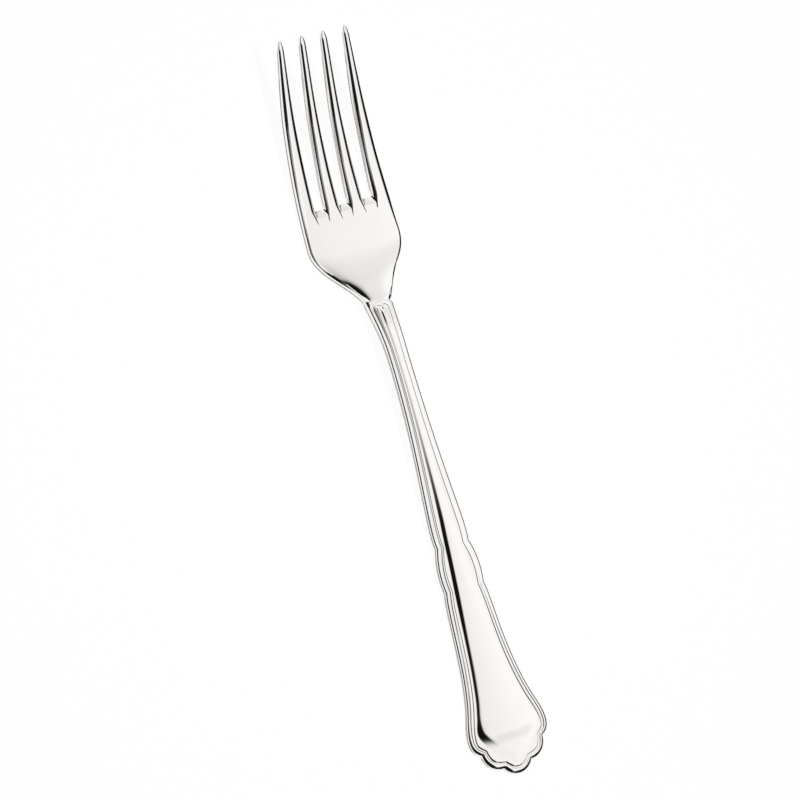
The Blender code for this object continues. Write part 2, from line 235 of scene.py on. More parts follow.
WALL_SLOPE_AT_CORNER_CUSP = 0.13
WALL_SLOPE_AT_END = 0.12
WEDGE_CORNER = 0.55
PANEL_SIDE_LIMIT = 0.40
SHANK_MIDDLE = 0.62
LOW_FLARE = 0.86
PANEL_EDGE_CORNER = 0.45
SIDE_LOBE_MIDDLE = 0.55
TOP_SHOULDER = 0.25
MID_SHOULDER = 0.53
LOW_SHOULDER = 0.80
SHOULDER_TOP_PULL = 0.41
SHOULDER_NECK_PULL = 0.43
WAIST_PULL = 0.50
SHANK_PULL = 0.57
UPPER_CUSP_PULL = 0.11
LOWER_CUSP_PULL = 0.15
FLARE_PULL = 0.37
CORNER_CUSP_PULL = 0.15
FAN_DEPTH = 0.62
WALL_LIMIT = 0.10
PANEL_CROWDING = 1.6
OUTER_TINE = 1.5

# Number of facets along each stretch
TIP_STEPS = 12
TINE_STEPS = 56
RUN_OUT_STEPS = 20
CHEEK_STEPS = 14
SHOULDER_STEPS = 50
COLLAR_STEPS = 80
SHANK_STEPS = 60
CUSP_STEPS = 36
FLARE_STEPS = 60
CORNER_STEPS = 36
LOBE_STEPS = 26
WALL_STEPS = 40
CUSP_SMOOTHING = 6

# Number of strips across each tine, slot and part of the border
CORNER_STRIPS = 3
SLOPE_STRIPS = 4
RIM_STRIPS = CORNER_STRIPS + SLOPE_STRIPS + 1
TINE_STRIPS = 2 * RIM_STRIPS + 2
WALL_STRIPS = 5
SLOT_STRIPS = 2 * WALL_STRIPS + 2
HALF_SLOT_STRIPS = WALL_STRIPS + 1
STRIPS = 2 * TINE_STRIPS + SLOT_STRIPS + HALF_SLOT_STRIPS
BEAD_STRIPS = 4
GROOVE_STRIPS = 4
RIDGE_STRIPS = 5
CREST_STRIPS = 2
RIDGE_LINE = RIM_STRIPS + 1 + BEAD_STRIPS + GROOVE_STRIPS + RIDGE_STRIPS + CREST_STRIPS
PANEL_STRIPS = STRIPS - RIDGE_LINE

# Places along the fork
TIP_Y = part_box("fork")[1].y
END_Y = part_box("fork")[0].y
ROOT_Y = TIP_Y - TINE_LENGTH
MID_TINE_Y = (TIP_Y + ROOT_Y) / 2
WIDEST_Y = ROOT_Y - CHEEK_LENGTH
NECK_Y = WIDEST_Y - SHOULDER_LENGTH
WAIST_Y = NECK_Y - WAIST_FROM_NECK
SIDE_CUSP_Y = END_Y + END_LOBE_LENGTH
CORNER_CUSP_Y = SIDE_CUSP_Y + SIDE_LOBE_LENGTH
FLARE_Y = CORNER_CUSP_Y + CORNER_LENGTH
LOWER_CUSP_Y = FLARE_Y + FLARE_LENGTH
UPPER_CUSP_Y = LOWER_CUSP_Y + CUSP_LENGTH
REST_Y = END_Y + REST_LENGTH
ARCH_CUSP_Y = NECK_Y - ARCH_CUSP_FROM_NECK
NICK_Y = NECK_Y + NECK_NICK_FROM_NECK
NICK_FOOT_Y = NICK_Y - NECK_NICK_LENGTH
WEDGE_FOOT_Y = ARCH_CUSP_Y - WEDGE_LENGTH
TOP_SHOULDER_Y = WIDEST_Y - SHOULDER_LENGTH * TOP_SHOULDER
MID_SHOULDER_Y = WIDEST_Y - SHOULDER_LENGTH * MID_SHOULDER
LOW_SHOULDER_Y = WIDEST_Y - SHOULDER_LENGTH * LOW_SHOULDER
MID_FLARE_Y = (LOWER_CUSP_Y + FLARE_Y) / 2
LOW_FLARE_Y = LOWER_CUSP_Y - FLARE_LENGTH * LOW_FLARE
WEDGE_CORNER_Y = FLARE_Y - CORNER_LENGTH * WEDGE_CORNER

# Distance between points compared for a slope, and one too small to matter
NEARBY = 0.0005
TINY = 1e-7

# Camera: a long lens, from the fork's left side and a little from its handle's end
CAMERA_LEAN = math.radians(22.0)
CAMERA_TILT = math.radians(1.914)
CAMERA_ROLL = math.radians(-17.461)
CAMERA_DISTANCE = 0.9877
CAMERA_TARGET = Vector((-0.00373, 0.00304, 0.00794))
SENSOR_WIDTH = 36.0
LENS = 141.75
CLIP_START = 0.01

# Studio: brightness of what the steel mirrors, by the angle from straight up towards the right
RIGHT_SIDE = [
    (0, 1.05), (10, 1.03), (22, 0.98), (36, 0.93), (44, 0.78), (51, 0.48), (57, 0.10), (61, 0.006)]
LEFT_SIDE = [(-42, 0.01), (-35, 0.25), (-28, 0.82), (-23, 1.00)]
FULL_TURN = 360
RAMP_SCALE = 2

# Studio: how many degrees the left side's edge turns for directions towards the handle's end
LEFT_TURN_RATE = 100
LEFT_TURN_LAG = 30
LEFT_TURN_LIMIT = 25

# Studio: a faint band ahead of the tips and a dark one low behind the handle's end, by direction
AHEAD_RISE = (0.26, 0.50)
AHEAD_FALL = (0.80, 0.52)
AHEAD_DIMMING = 0.12
BEHIND_RISE = (-0.55, -0.70)
BEHIND_TOP = (0.55, 0.42)
BEHIND_DIMMING = 0.98

# Floor, lamp and the plain light all round
WHITE = (1, 1, 1, 1)
FLOOR_HALF_WIDTH = 3.0
FLOOR_GAP = 0.0001
SEEN_FLOOR_GLOW = 0.95
MIRRORED_FLOOR_GLOW = 0.3
LAMP_SIZE = 0.05
LAMP_ENERGY = 2.65
LAMP_HEIGHT = 0.6
FILL_LIGHT = 0.25

# Steel: tints that drift in soft clouds, and fine polishing marks along the fork
STEEL_TINT = (0.935, 0.915, 0.895, 1)
CLOUD_TINT = (0.925, 0.902, 0.88, 1)
CLOUD_SCALE = 60
CLOUD_DETAIL = 2
MARK_SCALE = (6000, 160, 6000)
MARK_DETAIL = 3
MARK_STRENGTH = 0.02
MARK_DEPTH = 0.00001
MARK_ROUGHNESS = 0.05
LEAST_ROUGHNESS = 0.03
SHARP_ANGLE = math.radians(50)


def smooth_curve(points):
    """Return a function through (place, value) points that never overshoots them."""
    points = sorted(points)
    places = [place for place, _ in points]
    values = [value for _, value in points]
    gaps = [b - a for a, b in zip(places, places[1:])]
    slopes = [(b - a) / gap for a, b, gap in zip(values, values[1:], gaps)]
    tangents = [slopes[0]]
    for before, after in zip(slopes, slopes[1:]):
        turning = before * after <= 0
        tangents.append(0 if turning else 2 * before * after / (before + after))
    tangents.append(slopes[-1])

    def value_at(place):
        index = 0
        while index < len(gaps) - 1 and place > places[index + 1]:
            index += 1
        gap = gaps[index]
        t = min(max((place - places[index]) / gap, 0), 1)
        start = values[index] * (1 + 2 * t) + tangents[index] * gap * t
        finish = values[index + 1] * (3 - 2 * t) - tangents[index + 1] * gap * (1 - t)
        return start * (1 - t) ** 2 + finish * t ** 2

    return value_at


def blend(first, second, share):
    return first + (second - first) * share


def ease(share):
    share = min(max(share, 0), 1)
    return share * share * (3 - 2 * share)


def steps_between(first, last, count):
    """Return the points of an even split, without the first one."""
    return [blend(first, last, step / count) for step in range(1, count + 1)]


def curve_points(start, start_handle, end_handle, end, count):
    """Return the points of a Bezier stretch, without its first one."""
    return interpolate_bezier(start, start_handle, end_handle, end, count + 1)[1:]


def arc_points(start, end, bulge, count):
    """Return the points of a round stretch that swells to the left of its run."""
    chord = end - start
    radius = (chord.length_squared / 4 + bulge ** 2) / (2 * bulge)
    outward = Vector((-chord.y, chord.x)).normalized()
    centre = (start + end) / 2 + outward * (bulge - radius)
    spoke = start - centre
    sweep = spoke.angle_signed(end - centre)
    points = []
    for step in range(1, count + 1):
        turn = Matrix.Rotation(-sweep * step / count, 2)
        points.append(centre + turn @ spoke)
    return points


back_height = smooth_curve([
    (TIP_Y, TIP_RISE),
    (MID_TINE_Y, MID_TINE_RISE),
    (ROOT_Y, ROOT_RISE),
    (WIDEST_Y, 0),
    (MID_SHOULDER_Y, SHOULDER_RISE),
    (NECK_Y, NECK_RISE),
    (NECK_Y - SHANK_CREST_FROM_NECK, SHANK_RISE),
    (UPPER_CUSP_Y, UPPER_CUSP_RISE),
    (REST_Y, 0),
    (END_Y, 0),
])
thickness = smooth_curve([
    (TIP_Y, TIP_THICKNESS),
    (MID_TINE_Y, MID_TINE_THICKNESS),
    (ROOT_Y, ROOT_THICKNESS),
    (WIDEST_Y, BELLY_THICKNESS),
    (NECK_Y, NECK_THICKNESS),
    (WAIST_Y, WAIST_THICKNESS),
    (UPPER_CUSP_Y, HANDLE_THICKNESS),
    (END_Y, HANDLE_THICKNESS),
])
hollow = smooth_curve([
    (TIP_Y, HOLLOW_AT_TIPS),
    (ROOT_Y, HOLLOW_AT_ROOTS),
    (WIDEST_Y, HOLLOW_AT_WIDEST),
    (MID_SHOULDER_Y, HOLLOW_AT_SHOULDERS),
    (NECK_Y + HOLLOW_STEP, HOLLOW_AT_NECK),
    (NECK_Y, 0),
    (END_Y, 0),
])
border_width = smooth_curve([
    (NECK_Y, BORDER_AT_WAIST),
    (WAIST_Y, BORDER_AT_WAIST),
    (UPPER_CUSP_Y, BORDER_AT_FLARE),
    (FLARE_Y, BORDER_AT_FLARE),
    (END_Y, BORDER_AT_END),
])
wall_slope = smooth_curve([
    (ARCH_CUSP_Y, WALL_SLOPE_AT_NECK),
    (WEDGE_FOOT_Y, WALL_SLOPE_AT_WAIST),
    (WAIST_Y, WALL_SLOPE_AT_WAIST),
    (UPPER_CUSP_Y, WALL_SLOPE_AT_CUSPS),
    (LOWER_CUSP_Y, WALL_SLOPE_AT_LOWER_CUSP),
    (MID_FLARE_Y, WALL_SLOPE_AT_FLARE),
    (FLARE_Y, WALL_SLOPE_AT_FLARE),
    (WEDGE_CORNER_Y, WALL_SLOPE_AT_CORNER),
    (CORNER_CUSP_Y, WALL_SLOPE_AT_CORNER_CUSP),
    (SIDE_CUSP_Y, WALL_SLOPE_AT_END),
])
wall_reach = smooth_curve([
    (ARCH_CUSP_Y, WALL_REACH_AT_NECK),
    (WEDGE_FOOT_Y, WALL_REACH),
    (LOWER_CUSP_Y, WALL_REACH),
    (MID_FLARE_Y, WALL_REACH_AT_FLARE),
    (FLARE_Y, WALL_REACH_AT_FLARE),
    (WEDGE_CORNER_Y, WALL_REACH_AT_CORNER),
])
ridge_height = smooth_curve([
    (ARCH_CUSP_Y, RIDGE_HEIGHT),
    (ARCH_CUSP_Y - RIDGE_FADE, 0),
])
groove_depth = smooth_curve([
    (NECK_Y, GROOVE_AT_NECK),
    (WAIST_Y, GROOVE_AT_WAIST),
    (UPPER_CUSP_Y, GROOVE_AT_CUSPS),
    (FLARE_Y, GROOVE_AT_FLARE),
    (END_Y, GROOVE_AT_END),
])
bead_width = smooth_curve([
    (NECK_Y, BEAD_AT_WAIST),
    (WAIST_Y, BEAD_AT_WAIST),
    (UPPER_CUSP_Y, BEAD_AT_CUSPS),
    (FLARE_Y, BEAD_AT_FLARE),
    (SIDE_CUSP_Y, BEAD_AT_END),
    (END_Y, BEAD_AT_END),
])
ridge_side = smooth_curve([
    (WAIST_Y, RIDGE_SIDE_AT_WAIST),
    (UPPER_CUSP_Y, RIDGE_SIDE_AT_CUSPS),
    (FLARE_Y, RIDGE_SIDE_AT_FLARE),
    (SIDE_CUSP_Y, RIDGE_SIDE_AT_END),
])
bead_side = smooth_curve([
    (UPPER_CUSP_Y, BEAD_SIDE_AT_SHANK),
    (LOWER_CUSP_Y, BEAD_SIDE_AT_LOWER_CUSP),
    (FLARE_Y, BEAD_SIDE_AT_FLARE),
])
panel_edge = smooth_curve([
    (ARCH_CUSP_Y, PANEL_EDGE_AT_ARCHES),
    (blend(ARCH_CUSP_Y, WAIST_Y, 0.5), PANEL_EDGE_AT_COLLAR),
    (WAIST_Y, PANEL_EDGE_AT_WAIST),
    (blend(WAIST_Y, UPPER_CUSP_Y, SHANK_MIDDLE), PANEL_EDGE_AT_SHANK),
    (UPPER_CUSP_Y, PANEL_EDGE_AT_UPPER_CUSP),
    (LOWER_CUSP_Y, PANEL_EDGE_AT_LOWER_CUSP),
    (MID_FLARE_Y, PANEL_EDGE_AT_MID_FLARE),
    (LOW_FLARE_Y, PANEL_EDGE_AT_LOW_FLARE),
    (FLARE_Y, PANEL_EDGE_AT_FLARE),
    (blend(FLARE_Y, CORNER_CUSP_Y, PANEL_EDGE_CORNER), PANEL_EDGE_AT_CORNER),
    (CORNER_CUSP_Y, PANEL_EDGE_AT_CORNER_CUSP),
    (blend(CORNER_CUSP_Y, SIDE_CUSP_Y, SIDE_LOBE_MIDDLE), PANEL_EDGE_AT_SIDE_LOBE),
    (END_Y + BORDER_AT_END + PANEL_END_GAP, 0),
    (END_Y, -PANEL_EDGE_AT_CORNER_CUSP),
])
tine_edge = smooth_curve([
    (TIP_Y, OUTER_TINE * TINE_TIP_PITCH + TINE_TIP_WIDTH / 2),
    (MID_TINE_Y, MID_TINE_WIDTH / 2),
    (ROOT_Y, ROOT_WIDTH / 2),
    (WIDEST_Y, HEAD_WIDTH / 2),
])
slot_pitch = smooth_curve([
    (TIP_Y, TINE_TIP_PITCH),
    (ROOT_Y, TINE_ROOT_PITCH),
])
slot_width = smooth_curve([
    (TIP_Y, TINE_TIP_PITCH - TINE_TIP_WIDTH),
    (MID_TINE_Y, SLOT_MID_WIDTH),
    (ROOT_Y, SLOT_ROOT_WIDTH),
])
rim_reach = smooth_curve([
    (TIP_Y, RIM_REACH_AT_TINES),
    (ROOT_Y, RIM_REACH_AT_ROOTS),
    (WIDEST_Y, RIM_REACH_AT_CHEEKS),
    (MID_SHOULDER_Y, RIM_REACH_AT_CHEEKS),
    (LOW_SHOULDER_Y, RIM_REACH_AT_SHOULDERS),
    (NICK_Y, RIM_REACH_AT_NECK),
    (NICK_FOOT_Y, RIM_REACH_AT_HANDLE),
    (FLARE_Y, RIM_REACH_AT_HANDLE),
    (SIDE_CUSP_Y, RIM_REACH_AT_END),
    (END_Y, RIM_REACH_AT_END),
])
rim_slope = smooth_curve([
    (MID_TINE_Y, RIM_SLOPE_AT_TINES),
    (ROOT_Y, RIM_SLOPE_AT_ROOTS),
    (WIDEST_Y, RIM_SLOPE_AT_CHEEKS),
    (TOP_SHOULDER_Y, RIM_SLOPE_AT_CHEEKS),
    (MID_SHOULDER_Y, RIM_SLOPE_AT_SHOULDERS),
    (LOW_SHOULDER_Y, RIM_SLOPE_AT_LOW_SHOULDERS),
    (NICK_Y, RIM_SLOPE_AT_NECK),
    (NICK_FOOT_Y, RIM_SLOPE_AT_HANDLE),
    (FLARE_Y, RIM_SLOPE_AT_HANDLE),
    (CORNER_CUSP_Y, RIM_SLOPE_AT_END),
])
rim_steepening = smooth_curve([
    (ROOT_Y, RIM_STEEPENING_AT_TINES),
    (WIDEST_Y, RIM_STEEPENING_AT_CHEEKS),
    (LOW_SHOULDER_Y, RIM_STEEPENING_AT_CHEEKS),
    (NICK_Y, RIM_STEEPENING_AT_NECK),
    (NICK_FOOT_Y, RIM_STEEPENING_AT_CHEEKS),
    (FLARE_Y, RIM_STEEPENING_AT_CHEEKS),
    (CORNER_CUSP_Y, RIM_STEEPENING_AT_END),
])
back_edge_share = smooth_curve([
    (TIP_Y, BACK_EDGE_SHARE_AT_TIPS),
    (MID_TINE_Y, BACK_EDGE_SHARE_AT_HEAD),
    (NECK_Y, BACK_EDGE_SHARE_AT_HEAD),
    (WAIST_Y, BACK_EDGE_SHARE_AT_HANDLE),
    (FLARE_Y, BACK_EDGE_SHARE_AT_HANDLE),
    (SIDE_CUSP_Y, BACK_EDGE_SHARE_AT_END),
])
wall_draft = smooth_curve([
    (TIP_Y, DRAFT_AT_TIPS),
    (MID_TINE_Y, DRAFT_AT_TINES),
    (ROOT_Y, DRAFT_AT_ROOTS),
    (WIDEST_Y, DRAFT_AT_CHEEKS),
    (NECK_Y, DRAFT_AT_HANDLE),
])


def on_profile(x, y, height):
    """Place a point above the back's side-view curve, at a height measured square to it."""
    slope = (back_height(y + NEARBY) - back_height(y - NEARBY)) / (2 * NEARBY)
    return Vector((x, y, back_height(y) + height * math.hypot(1, slope)))


def slot_edges(y):
    """Return the outer and inner edges of the side slot, and the edge of the middle one."""
    half = slot_width(y) / 2
    return slot_pitch(y) + half + SIDE_SLOT_EXTRA, slot_pitch(y) - half, half


def hollow_lift(x, y, half_width):
    return hollow(y) * min(abs(x) / half_width, 1) ** HOLLOW_POWER


def corner_drop(inset, corner):
    """Return the drop of a small round corner at an inset from it."""
    away = max(1 - inset / corner, 0)
    return corner * (1 - math.sqrt(1 - away ** 2))


def eased_drop(inset, reach, y):
    """Return the drop of an edge that steepens over its reach, without its corner."""
    run = max(reach - inset, 0)
    return rim_slope(y) * run + rim_steepening(y) * run * run / (2 * reach)


def rim_drop(inset, reach, y):
    """Return how far an eased rim has dropped at an inset from its edge."""
    return eased_drop(inset, reach, y) + corner_drop(inset, min(RIM_CORNER, reach * CORNER_LIMIT))


def rim_line_reach(y):
    """Return how far in the rim's own lines lie, which leaves room for the border's ones."""
    return blend(RIM_REACH_AT_ROOTS, RIM_LINE_REACH, ease((ROOT_Y - y) / CHEEK_LENGTH))


def back_rise(inset, y):
    """Return how far the back's slanted edge has risen at an inset from the widest line."""
    return max(back_edge_share(y) * thickness(y) - inset / BACK_SLANT, 0)


def edge_foot(widest, outward, draft):
    """Return the point where the edge's steep wall meets the small slant above its widest line."""
    foot = min(EDGE_FOOT, draft * FOOT_LIMIT)
    x, y = widest.x - outward.x * foot, widest.y - outward.y * foot
    return Vector((max(x, 0), y, widest.z + foot))


def rim_insets(reach):
    """Return the insets of the lines along an eased rim, closest round its corner."""
    corner = min(RIM_CORNER, reach * CORNER_LIMIT)
    turns = [math.pi / 2 * line / CORNER_STRIPS for line in range(CORNER_STRIPS + 1)]
    insets = [corner * (1 - math.cos(turn)) for turn in turns]
    return insets + steps_between(corner, reach, SLOPE_STRIPS) + [reach * RIM_EASE]


def tine_row(y):
    """Return one row of points across the tines, as pairs of a front and a back one."""
    past_tip = max(y - (TIP_Y - TIP_ROUND), 0) / TIP_ROUND
    taper = math.sqrt(1 - (1 - TIP_BLUNTNESS ** 2) * past_tip ** 2)
    edge = tine_edge(y)
    outer, inner, middle = slot_edges(y)
    half_height = thickness(y) / 2
    level = ease((y - ROOT_Y) / TINE_LEVELLING)
    row = []
    for outside, inside, slot_strips in (
            (edge, outer, SLOT_STRIPS), (inner, middle, HALF_SLOT_STRIPS)):
        centre = (outside + inside) / 2
        half = (outside - inside) / 2 * taper
        reach = min(rim_reach(y), half * RIM_LIMIT)
        draft = wall_draft(y) * taper
        insets = rim_insets(reach)
        insets += [half] + [2 * half - inset for inset in reversed(insets)]
        for line, inset in enumerate(insets):
            x = centre + half - inset
            outward = (line == 0) - (line == len(insets) - 1)
            lift = blend(hollow_lift(x, y, edge), hollow_lift(centre, y, edge), level)
            depth = min(inset, 2 * half - inset)
            rise = back_rise(0 if outward else depth + draft, y)
            low = half_height * (1 - taper) + rise * taper
            high = half_height * (1 + taper) - rim_drop(depth, reach, y)
            back = Vector((x + outward * draft, y, lift * BACK_HOLLOW_SHARE + low))
            front = Vector((x, y, lift + high))
            row.append((edge_foot(back, Vector((outward, 0)), draft) if outward else front, back))
        row += [row[-1]] * (slot_strips - 1)
    row.append(row[-1])
    return row


def run_out_left(y):
    """Return how much of the slots' ramps is left below the slot bottoms."""
    return max(1 - (ROOT_Y - y) / RUN_OUT_LENGTH, 0)


def root_lines(y):
    """Return the places of the strips' edges below the slots, where the ramps' walls draw in."""
    outer, inner, middle = slot_edges(ROOT_Y)
    left = max(run_out_left(y), WALL_LIMIT)
    wall = RUN_OUT_WALL * left
    at_root = [front.x for front, _ in tine_row(ROOT_Y)]
    first = TINE_STRIPS + SLOT_STRIPS
    outer_tine = at_root[:TINE_STRIPS + 1]
    inner_tine = at_root[first:first + TINE_STRIPS + 1]
    lines = outer_tine[:RIM_STRIPS + 2]
    lines += [blend(outer, x, left) for x in outer_tine[RIM_STRIPS + 2:]]
    lines += steps_between(outer, outer - wall, WALL_STRIPS) + [slot_pitch(ROOT_Y)]
    lines += [inner + wall] + steps_between(inner + wall, inner, WALL_STRIPS)[:-1]
    lines += [blend(inner, x, left) for x in inner_tine[:RIM_STRIPS + 1]]
    lines += inner_tine[RIM_STRIPS + 1:RIM_STRIPS + 2]
    lines += [blend(middle, x, left) for x in inner_tine[RIM_STRIPS + 2:]]
    return lines + steps_between(middle, middle - wall, WALL_STRIPS) + [0]


def run_out_drop(x, y):
    """Return how deep the slots' ramps and their eased edges lie below the head's face."""
    left = run_out_left(y)
    if left == 0:
        return 0
    outer, inner, middle = slot_edges(ROOT_Y)
    inside = max(min(outer - x, x - inner), middle - x)
    edge = eased_drop(max(-inside, 0), rim_reach(ROOT_Y) * left, ROOT_Y)
    to_foot = 1 - min(max(inside / (RUN_OUT_WALL * left), 0), 1)
    return blend(RUN_OUT_DEPTH * left * left, edge, to_foot * to_foot)


def head_row(half_width, lean, y, neck):
    """Return one row of points across the head, whose edge leans away from straight along."""
    share = ease((ROOT_Y - y) / (ROOT_Y - NECK_Y))
    reach = rim_reach(y)
    stretch = math.hypot(1, lean)
    rims = rim_insets(min(reach, rim_line_reach(y)))
    root = root_lines(y)
    row = []
    for line, (at_root, at_neck) in enumerate(zip(root, neck)):
        x = half_width * blend(at_root / root[0], 1 - at_neck / NECK_HALF_WIDTH, share)
        if line <= RIM_STRIPS:
            x = half_width - rims[line] * stretch
        inset = (half_width - x) / stretch
        lift = hollow_lift(x, y, half_width)
        drop = rim_drop(inset, reach, y) + run_out_drop(x, y)
        widest = x + wall_draft(y) * stretch if line == 0 else x
        rise = back_rise(inset + wall_draft(y) if line else 0, y)
        back = Vector((widest, y, lift * BACK_HOLLOW_SHARE + rise))
        front = Vector((x, y, lift + thickness(y) - drop))
        row.append((front if line else edge_foot(back, Vector((stretch, 0)), wall_draft(y)), back))
    return row


def panel_shares():
    """Return the shares of the way from the ridge to the spine, crowded towards the ridge."""
    return [share ** PANEL_CROWDING for share in steps_between(0, 1, PANEL_STRIPS)]


def border_insets(half_width, y):
    """Return each line's inset from the handle's outline, from the rim to the spine."""
    ridge = border_width(y)
    groove = ridge - RIDGE_CREST - ridge_side(y)
    bead = bead_width(y)
    bead_foot = bead + bead_side(y)
    insets = rim_insets(min(rim_reach(y), bead / RIM_EASE - TINY)) + [bead]
    insets += steps_between(bead, bead_foot, BEAD_STRIPS)
    insets += steps_between(bead_foot, groove, GROOVE_STRIPS)
    insets += steps_between(groove, ridge - RIDGE_CREST, RIDGE_STRIPS)
    insets += steps_between(ridge - RIDGE_CREST, ridge, CREST_STRIPS)
    return insets + [blend(ridge, half_width, share) for share in panel_shares()]


def panel_slope(inside, half_panel, reach):
    """Return the share of the wall's full slope at a distance inside the panel's edge."""
    scale = min(half_panel / (reach + WALL_FADE), 1)
    rise = ease(inside / (CREST_REACH * scale))
    fall = ease((inside - reach * scale) / (WALL_FADE * scale))
    gentle = PANEL_SLOPE_SHARE * max(1 - inside / half_panel, 0)
    return rise * blend(1, gentle, fall)


def panel_depth(x, y):
    """Return how far the hollow panel lies below its border."""
    lean = (panel_edge(y + NEARBY) - panel_edge(y - NEARBY)) / (2 * NEARBY)
    stretch = math.hypot(1, lean)
    half_panel = panel_edge(y) / stretch
    inside = half_panel - x / stretch
    if inside <= 0:
        return 0
    reach = wall_reach(y)
    step = inside / WALL_STEPS
    middles = [(index + 0.5) * step for index in range(WALL_STEPS)]
    return wall_slope(y) * step * sum(panel_slope(place, half_panel, reach) for place in middles)


def border_drop(outside, y):
    """Return the depth of the border's groove at a distance outside the ridge's crest line."""
    ridge = border_width(y)
    inset = ridge - outside
    from_bead = groove_depth(y) * min(max((inset - bead_width(y)) / bead_side(y), 0), 1)
    from_ridge = groove_depth(y) * min(max((outside - RIDGE_CREST) / ridge_side(y), 0), 1)
    arch_side = from_ridge * (1 - ease((outside - RIDGE_CREST - ridge_side(y)) / ARCH_FADE))
    started = ease((ARCH_CUSP_Y - y) / BORDER_START + 0.5)
    return blend(arch_side, min(from_bead, from_ridge), started)


def inside_ridge(x, y, inside, half_panel):
    """Return the distance inside the ridge, which closes in two arches below the neck."""
    arch = half_panel / 2
    if y >= ARCH_CUSP_Y:
        return arch - math.hypot(x - arch, (y - ARCH_CUSP_Y) * arch / ARCH_HEIGHT)
    return min(inside, math.hypot(x, y - ARCH_CUSP_Y))


def handle_outline():
    """Return the right edge of the handle from the neck to the middle of its end."""
    def knot(half_width, y):
        return Vector((half_width, y))

    neck = knot(NECK_HALF_WIDTH, NECK_Y)
    waist = knot(WAIST_HALF_WIDTH, WAIST_Y)
    upper = knot(UPPER_CUSP_HALF_WIDTH, UPPER_CUSP_Y)
    lower = knot(LOWER_CUSP_HALF_WIDTH, LOWER_CUSP_Y)
    flare = knot(FLARE_HALF_WIDTH, FLARE_Y)
    corner = knot(CORNER_CUSP_HALF_WIDTH, CORNER_CUSP_Y)
    side = knot(SIDE_CUSP_HALF_WIDTH, SIDE_CUSP_Y)
    shank = waist.y - upper.y
    flare_lean = Vector((FLARE_SPREAD, -FLARE_LENGTH * FLARE_PULL)).normalized()

    outline = [neck]
    outline += curve_points(
        neck, knot(COLLAR_HALF_WIDTH, neck.y - COLLAR_LENGTH),
        knot(waist.x, waist.y + WAIST_FROM_NECK * WAIST_PULL), waist, COLLAR_STEPS)
    outline += curve_points(
        waist, knot(waist.x, waist.y - shank * SHANK_PULL),
        knot(upper.x + UPPER_CUSP_SWELL, upper.y + shank * UPPER_CUSP_PULL), upper, SHANK_STEPS)
    outline += arc_points(upper, lower, CUSP_BULGE, CUSP_STEPS)
    outline += curve_points(
        lower, knot(lower.x + LOWER_CUSP_SWELL, lower.y - FLARE_LENGTH * LOWER_CUSP_PULL),
        knot(flare.x - FLARE_SPREAD, flare.y + FLARE_LENGTH * FLARE_PULL), flare, FLARE_STEPS)
    outline += curve_points(
        flare, flare + flare_lean * CORNER_PULL,
        knot(corner.x + CORNER_SWELL, corner.y + CORNER_LENGTH * CORNER_CUSP_PULL), corner,
        CORNER_STEPS)
    outline += arc_points(corner, side, SIDE_LOBE_BULGE, LOBE_STEPS)
    end_lobe = arc_points(side, knot(-side.x, side.y), END_LOBE_LENGTH, 2 * LOBE_STEPS)
    outline += end_lobe[:LOBE_STEPS - 1] + [knot(0, END_Y)]
    return outline


def inward(outline, index):
    """Return the mitred direction from an outline point into the handle."""
    here = outline[index]
    if index == 0:
        return Vector((-1, 0))
    before = (here - outline[index - 1]).normalized()
    if index == len(outline) - 1:
        after = Vector((before.x, -before.y))
    else:
        after = (outline[index + 1] - here).normalized()
    normals = [Vector((run.y, -run.x)) for run in (before, after)]
    return (normals[0] + normals[1]) / (1 + normals[0].dot(normals[1]))


def inward_runs(outline):
    """Return the directions into the handle, turning gradually past each cusp."""
    sharp = [inward(outline, index) for index in range(len(outline))]
    runs = []
    for index in range(len(outline)):
        reach = min(CUSP_SMOOTHING, index, len(outline) - 1 - index)
        near = sharp[index - reach:index + reach + 1]
        runs.append(sum(near, Vector((0, 0))) / len(near))
    return runs


def handle_rows():
    """Return the rows of points from the neck to the end, square to the handle's outline."""
    outline = handle_outline()
    runs = inward_runs(outline)
    fan_start = len(outline) - 1 - CORNER_STEPS - 2 * LOBE_STEPS
    fan_rows = len(outline) - 1 - fan_start
    fan_top = (outline[fan_start] + runs[fan_start] * BORDER_AT_FLARE).y
    fan_foot = blend(fan_top, END_Y, FAN_DEPTH)
    widest_panel = FLARE_HALF_WIDTH - BORDER_AT_FLARE
    rows = []
    for index, point in enumerate(outline):
        direction = runs[index]
        insets = border_insets(max(point.x, border_width(point.y)), point.y)
        ridge = point + direction * insets[RIDGE_LINE]
        in_fan = index > fan_start
        spine_y = blend(fan_top, fan_foot, (index - fan_start) / fan_rows) if in_fan else ridge.y
        spine = Vector((0, spine_y))
        half_panel = widest_panel if in_fan else min(ridge.x, widest_panel)
        row = []
        for line, inset in enumerate(insets):
            place = point + direction * inset
            inside = inset - insets[RIDGE_LINE]
            if line > RIDGE_LINE:
                share = panel_shares()[line - RIDGE_LINE - 1]
                place = ridge.lerp(spine, share)
                inside = (place - ridge).length
            if not in_fan:
                inside = inside_ridge(place.x, place.y, inside, half_panel)
            drop = rim_drop(inset, rim_reach(place.y), place.y)
            if inside > 0:
                depth = ridge_height(place.y) + panel_depth(max(place.x, 0), place.y)
                drop += min(depth, inside * PANEL_SIDE_LIMIT)
            elif line > RIM_STRIPS:
                drop += border_drop(-inside, place.y)
            lift = hollow_lift(place.x, place.y, max(point.x, NECK_HALF_WIDTH))
            draft = wall_draft(place.y)
            low = lift * BACK_HOLLOW_SHARE + back_rise(inset + draft if line else 0, place.y)
            widest = place if line else point - direction * draft
            back = Vector((max(widest.x, 0), widest.y, low))
            front = Vector((max(place.x, 0), place.y, lift + thickness(place.y) - drop))
            row.append((front if line else edge_foot(back, -direction, draft), back))
        rows.append(row)
    return rows


